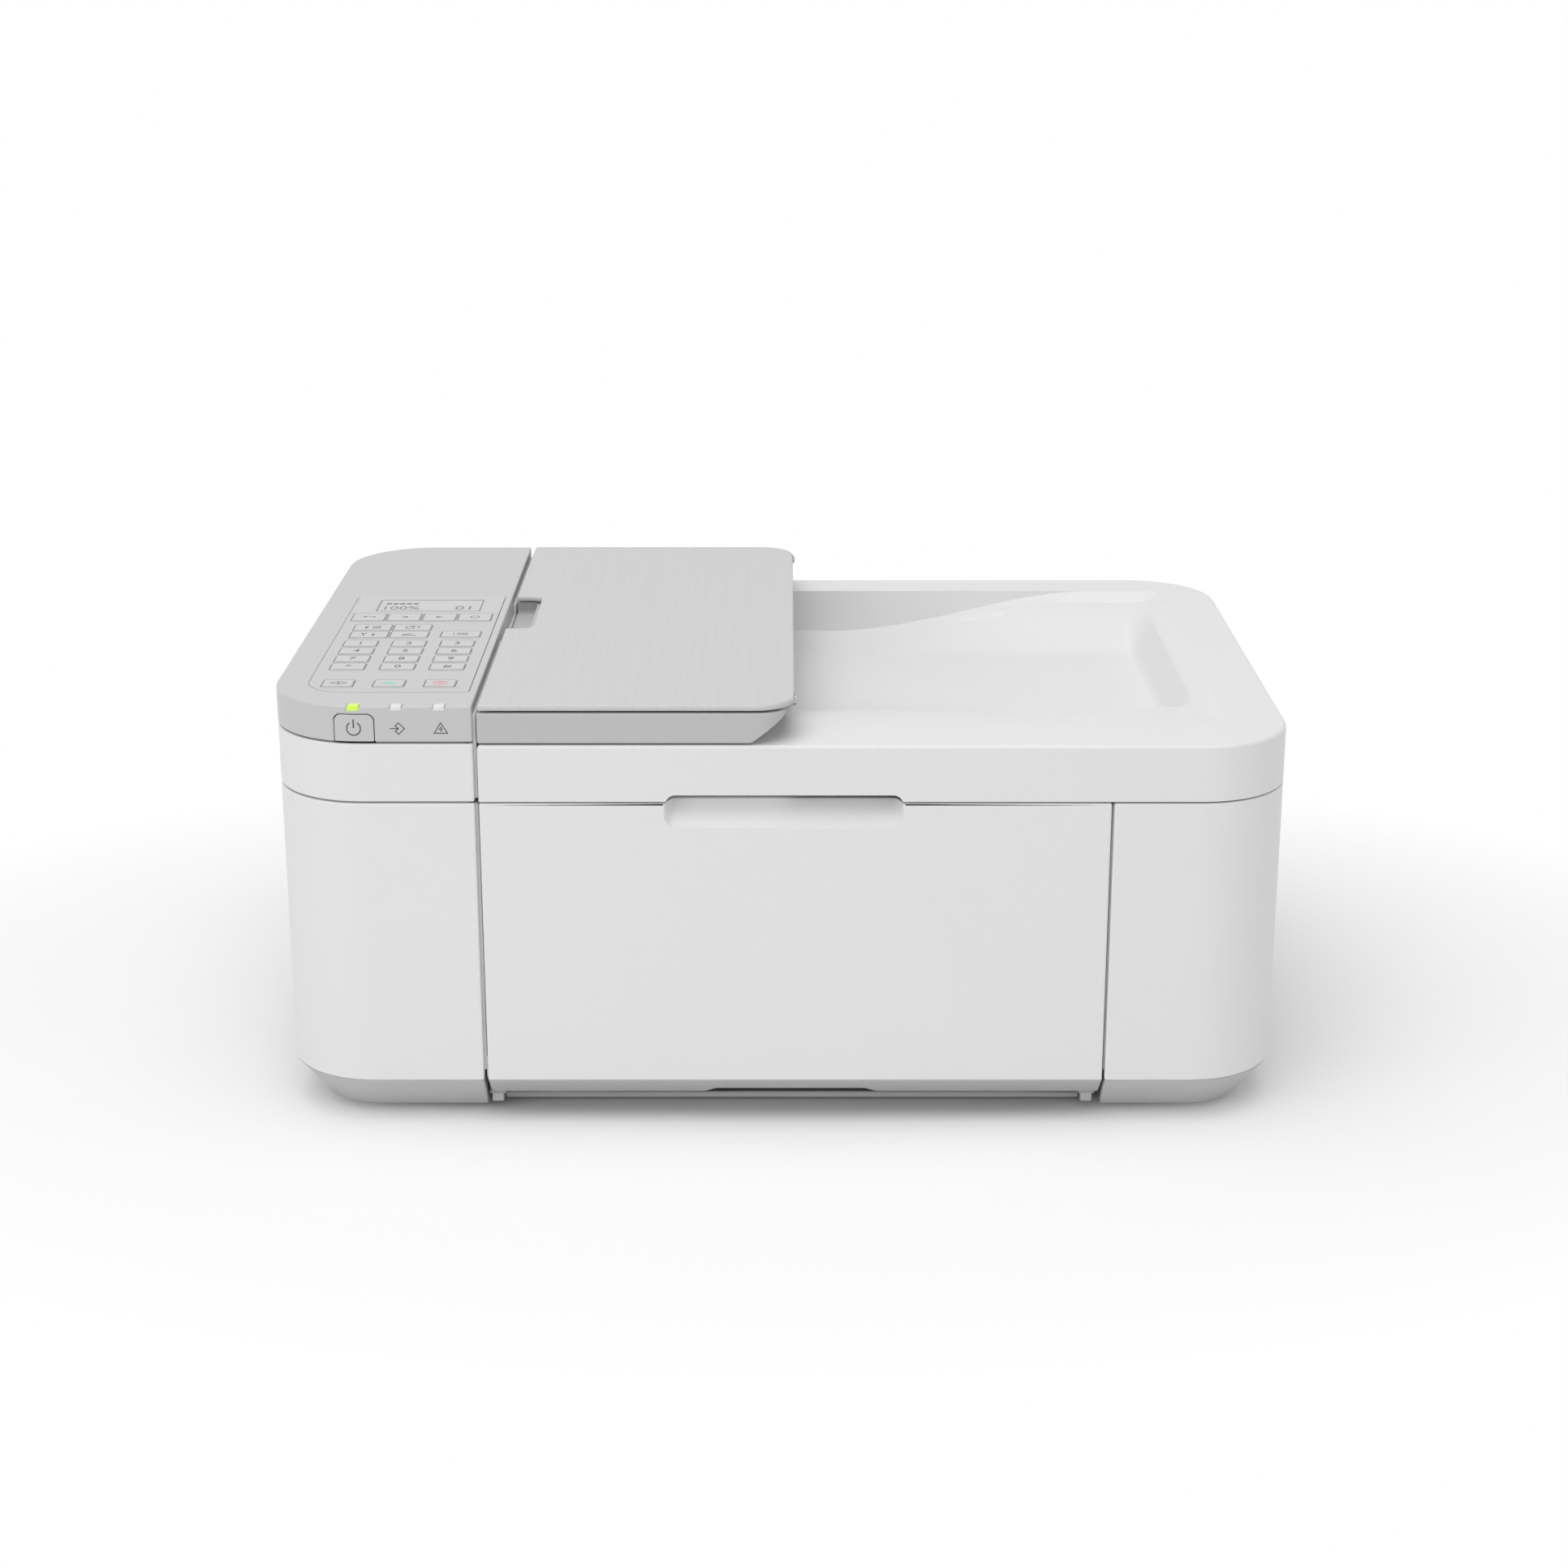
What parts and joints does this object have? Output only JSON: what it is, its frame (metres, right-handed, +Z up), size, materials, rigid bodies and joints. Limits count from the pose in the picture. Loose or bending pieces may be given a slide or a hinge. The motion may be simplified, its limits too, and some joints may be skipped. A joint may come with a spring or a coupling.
{
  "type": "inkjet printer",
  "caption": "Compact white inkjet all-in-one with a drop-down front door, flat-bed scanner, document feeder and a keypad panel on the left.",
  "frame": {"origin": "on the floor under the middle of the casing", "axes": "+X to the printer's right seen from the front, +Y to its back, +Z up"},
  "size_m": [0.435, 0.295, 0.19],
  "materials": {
    "white_plastic": "fine moulded texture, satin white",
    "skirt_plastic": "fine moulded texture, light grey",
    "grey_plastic": "fine moulded texture, light grey",
    "lid_plastic": "fine lines from front to back, light grey",
    "overlay": "thin printed sheet",
    "key_plastic": "satin key tops",
    "lamp_plastic": "clear light pipes",
    "display": "grey liquid crystal behind a clear window",
    "clear_glass": "clear float glass",
    "pad_foam": "white film over foam",
    "rubber": "black rubber",
    "steel": "zinc-plated sheet",
    "motor_steel": "plated can",
    "roller_rubber": "ground rubber on steel",
    "gear_plastic": "natural acetal",
    "black_plastic": "moulded black",
    "board": "solder-masked board",
    "inner_plastic": "moulded dark grey"
  },
  "bodies": {
    "main_body": {"base_housing": "skirt_plastic", "carriage_motor": "motor_steel", "chassis": "steel", "display_window": "display", "drive_belt": "rubber", "feet": "rubber", "indicator_lamps": "lamp_plastic", "key_sheet": "overlay", "main_board": "board", "outer_case": "white_plastic", "panel_case": "grey_plastic", "platen_glass": "clear_glass", "power_unit": "black_plastic", "rear_cover": "white_plastic", "scanner_frame": "white_plastic", "screws": "steel"},
    "front_door": {"front_door": "white_plastic"},
    "document_cover": {"document_cover": "white_plastic", "pressure_pad": "pad_foam", "feeder_base": "grey_plastic"},
    "feeder_lid": {"feeder_lid": "lid_plastic"},
    "output_stop": {"output_stop": "inner_plastic"},
    "inner_cover": {"inner_cover": "inner_plastic"},
    "paper_guide_left": {"paper_guide_left": "inner_plastic"},
    "paper_guide_right": {"paper_guide_right": "inner_plastic"},
    "document_guide_front": {"document_guide_front": "inner_plastic"},
    "document_guide_rear": {"document_guide_rear": "inner_plastic"},
    "carriage": {"carriage": "black_plastic", "ink_cartridges": "black_plastic"},
    "scan_unit": {"scan_unit": "black_plastic"},
    "maintenance_cap": {"maintenance_cap": "rubber"},
    "feed_roller": {"feed_roller": "roller_rubber"},
    "idler_gear": {"idler_gear": "gear_plastic"},
    "eject_roller": {"eject_roller": "roller_rubber"},
    "feeder_roller": {"feeder_roller": "roller_rubber"},
    "power_key": {"power_key": "grey_plastic"},
    "back_key": {"back_key": "key_plastic"},
    "left_key": {"left_key": "key_plastic"},
    "right_key": {"right_key": "key_plastic"},
    "enter_key": {"enter_key": "key_plastic"},
    "setup_key": {"setup_key": "key_plastic"},
    "scan_key": {"scan_key": "key_plastic"},
    "fax_key": {"fax_key": "key_plastic"},
    "copy_key": {"copy_key": "key_plastic"},
    "menu_key": {"menu_key": "key_plastic"},
    "number_key_1": {"number_key_1": "key_plastic"},
    "number_key_2": {"number_key_2": "key_plastic"},
    "number_key_3": {"number_key_3": "key_plastic"},
    "number_key_4": {"number_key_4": "key_plastic"},
    "number_key_5": {"number_key_5": "key_plastic"},
    "number_key_6": {"number_key_6": "key_plastic"},
    "number_key_7": {"number_key_7": "key_plastic"},
    "number_key_8": {"number_key_8": "key_plastic"},
    "number_key_9": {"number_key_9": "key_plastic"},
    "number_key_star": {"number_key_star": "key_plastic"},
    "number_key_0": {"number_key_0": "key_plastic"},
    "number_key_hash": {"number_key_hash": "key_plastic"},
    "start_black_key": {"start_black_key": "key_plastic"},
    "start_colour_key": {"start_colour_key": "key_plastic"},
    "stop_key": {"stop_key": "key_plastic"}
  },
  "joints": [
    {"name": "front_door_hinge", "type": "hinge", "parent": "main_body", "child": "front_door", "pos_m": [0.0055, -0.1315, 0.0172], "axis": [1, 0, 0], "range_deg": [0, 90]},
    {"name": "document_cover_hinge", "type": "hinge", "parent": "main_body", "child": "document_cover", "pos_m": [0.0447, 0.145, 0.1506], "axis": [-1, 0, 0], "range_deg": [0, 70]},
    {"name": "feeder_lid_hinge", "type": "hinge", "parent": "document_cover", "child": "feeder_lid", "pos_m": [0.003, 0, 0.1856], "axis": [0, 1, 0], "range_deg": [0, 155]},
    {"name": "document_guide_rear_slide", "type": "slide", "parent": "feeder_lid", "child": "document_guide_rear", "axis": [0, -1, 0], "range_m": [0, 0.07]},
    {"name": "document_guide_front_slide", "type": "slide", "parent": "feeder_lid", "child": "document_guide_front", "axis": [0, 1, 0], "range_m": [0, 0.07]},
    {"name": "output_stop_hinge", "type": "hinge", "parent": "front_door", "child": "output_stop", "pos_m": [0.005, -0.1418, 0.118], "axis": [1, 0, 0], "range_deg": [0, 95]},
    {"name": "inner_cover_hinge", "type": "hinge", "parent": "main_body", "child": "inner_cover", "pos_m": [0.005, -0.096, 0.066], "axis": [1, 0, 0], "range_deg": [0, 80]},
    {"name": "paper_guide_left_slide", "type": "slide", "parent": "main_body", "child": "paper_guide_left", "axis": [1, 0, 0], "range_m": [0, 0.06]},
    {"name": "paper_guide_right_slide", "type": "slide", "parent": "main_body", "child": "paper_guide_right", "axis": [-1, 0, 0], "range_m": [0, 0.06]},
    {"name": "carriage_slide", "type": "slide", "parent": "main_body", "child": "carriage", "axis": [-1, 0, 0], "range_m": [0, 0.27]},
    {"name": "scan_unit_slide", "type": "slide", "parent": "main_body", "child": "scan_unit", "axis": [1, 0, 0], "range_m": [0, 0.265]},
    {"name": "maintenance_cap_slide", "type": "slide", "parent": "main_body", "child": "maintenance_cap", "axis": [0, 0, -1], "range_m": [0, 0.003], "stiffness_N_per_m": 400, "springref_m": -0.002},
    {"name": "feed_roller_spin", "type": "hinge", "parent": "main_body", "child": "feed_roller", "pos_m": [0, 0.03, 0.05], "axis": [1, 0, 0], "continuous": true},
    {"name": "idler_gear_spin", "type": "hinge", "parent": "main_body", "child": "idler_gear", "pos_m": [-0.186, -0.0025, 0.05], "axis": [1, 0, 0], "continuous": true},
    {"name": "eject_roller_spin", "type": "hinge", "parent": "main_body", "child": "eject_roller", "pos_m": [0, -0.035, 0.05], "axis": [1, 0, 0], "continuous": true},
    {"name": "feeder_roller_spin", "type": "hinge", "parent": "document_cover", "child": "feeder_roller", "pos_m": [-0.034, 0, 0.175], "axis": [0, 1, 0], "continuous": true},
    {"name": "power_key_press", "type": "slide", "parent": "main_body", "child": "power_key", "axis": [0, 1, 0], "range_m": [0, 0.0006], "stiffness_N_per_m": 900},
    {"name": "back_key_press", "type": "slide", "parent": "main_body", "child": "back_key", "axis": [0, 0, -1], "range_m": [0, 0.0006], "stiffness_N_per_m": 900},
    {"name": "left_key_press", "type": "slide", "parent": "main_body", "child": "left_key", "axis": [0, 0, -1], "range_m": [0, 0.0006], "stiffness_N_per_m": 900},
    {"name": "right_key_press", "type": "slide", "parent": "main_body", "child": "right_key", "axis": [0, 0, -1], "range_m": [0, 0.0006], "stiffness_N_per_m": 900},
    {"name": "enter_key_press", "type": "slide", "parent": "main_body", "child": "enter_key", "axis": [0, 0, -1], "range_m": [0, 0.0006], "stiffness_N_per_m": 900},
    {"name": "setup_key_press", "type": "slide", "parent": "main_body", "child": "setup_key", "axis": [0, 0, -1], "range_m": [0, 0.0006], "stiffness_N_per_m": 900},
    {"name": "scan_key_press", "type": "slide", "parent": "main_body", "child": "scan_key", "axis": [0, 0, -1], "range_m": [0, 0.0006], "stiffness_N_per_m": 900},
    {"name": "fax_key_press", "type": "slide", "parent": "main_body", "child": "fax_key", "axis": [0, 0, -1], "range_m": [0, 0.0006], "stiffness_N_per_m": 900},
    {"name": "copy_key_press", "type": "slide", "parent": "main_body", "child": "copy_key", "axis": [0, 0, -1], "range_m": [0, 0.0006], "stiffness_N_per_m": 900},
    {"name": "menu_key_press", "type": "slide", "parent": "main_body", "child": "menu_key", "axis": [0, 0, -1], "range_m": [0, 0.0006], "stiffness_N_per_m": 900},
    {"name": "number_key_1_press", "type": "slide", "parent": "main_body", "child": "number_key_1", "axis": [0, 0, -1], "range_m": [0, 0.0006], "stiffness_N_per_m": 900},
    {"name": "number_key_2_press", "type": "slide", "parent": "main_body", "child": "number_key_2", "axis": [0, 0, -1], "range_m": [0, 0.0006], "stiffness_N_per_m": 900},
    {"name": "number_key_3_press", "type": "slide", "parent": "main_body", "child": "number_key_3", "axis": [0, 0, -1], "range_m": [0, 0.0006], "stiffness_N_per_m": 900},
    {"name": "number_key_4_press", "type": "slide", "parent": "main_body", "child": "number_key_4", "axis": [0, 0, -1], "range_m": [0, 0.0006], "stiffness_N_per_m": 900},
    {"name": "number_key_5_press", "type": "slide", "parent": "main_body", "child": "number_key_5", "axis": [0, 0, -1], "range_m": [0, 0.0006], "stiffness_N_per_m": 900},
    {"name": "number_key_6_press", "type": "slide", "parent": "main_body", "child": "number_key_6", "axis": [0, 0, -1], "range_m": [0, 0.0006], "stiffness_N_per_m": 900},
    {"name": "number_key_7_press", "type": "slide", "parent": "main_body", "child": "number_key_7", "axis": [0, 0, -1], "range_m": [0, 0.0006], "stiffness_N_per_m": 900},
    {"name": "number_key_8_press", "type": "slide", "parent": "main_body", "child": "number_key_8", "axis": [0, 0, -1], "range_m": [0, 0.0006], "stiffness_N_per_m": 900},
    {"name": "number_key_9_press", "type": "slide", "parent": "main_body", "child": "number_key_9", "axis": [0, 0, -1], "range_m": [0, 0.0006], "stiffness_N_per_m": 900},
    {"name": "number_key_star_press", "type": "slide", "parent": "main_body", "child": "number_key_star", "axis": [0, 0, -1], "range_m": [0, 0.0006], "stiffness_N_per_m": 900},
    {"name": "number_key_0_press", "type": "slide", "parent": "main_body", "child": "number_key_0", "axis": [0, 0, -1], "range_m": [0, 0.0006], "stiffness_N_per_m": 900},
    {"name": "number_key_hash_press", "type": "slide", "parent": "main_body", "child": "number_key_hash", "axis": [0, 0, -1], "range_m": [0, 0.0006], "stiffness_N_per_m": 900},
    {"name": "start_black_key_press", "type": "slide", "parent": "main_body", "child": "start_black_key", "axis": [0, 0, -1], "range_m": [0, 0.0006], "stiffness_N_per_m": 900},
    {"name": "start_colour_key_press", "type": "slide", "parent": "main_body", "child": "start_colour_key", "axis": [0, 0, -1], "range_m": [0, 0.0006], "stiffness_N_per_m": 900},
    {"name": "stop_key_press", "type": "slide", "parent": "main_body", "child": "stop_key", "axis": [0, 0, -1], "range_m": [0, 0.0006], "stiffness_N_per_m": 900}
  ],
  "couplings": [
    {"joint": "document_guide_front_slide", "follows": "document_guide_rear_slide", "ratio": 1},
    {"joint": "paper_guide_right_slide", "follows": "paper_guide_left_slide", "ratio": 1},
    {"joint": "idler_gear_spin", "follows": "feed_roller_spin", "ratio": -0.625},
    {"joint": "eject_roller_spin", "follows": "feed_roller_spin", "ratio": 1}
  ]
}
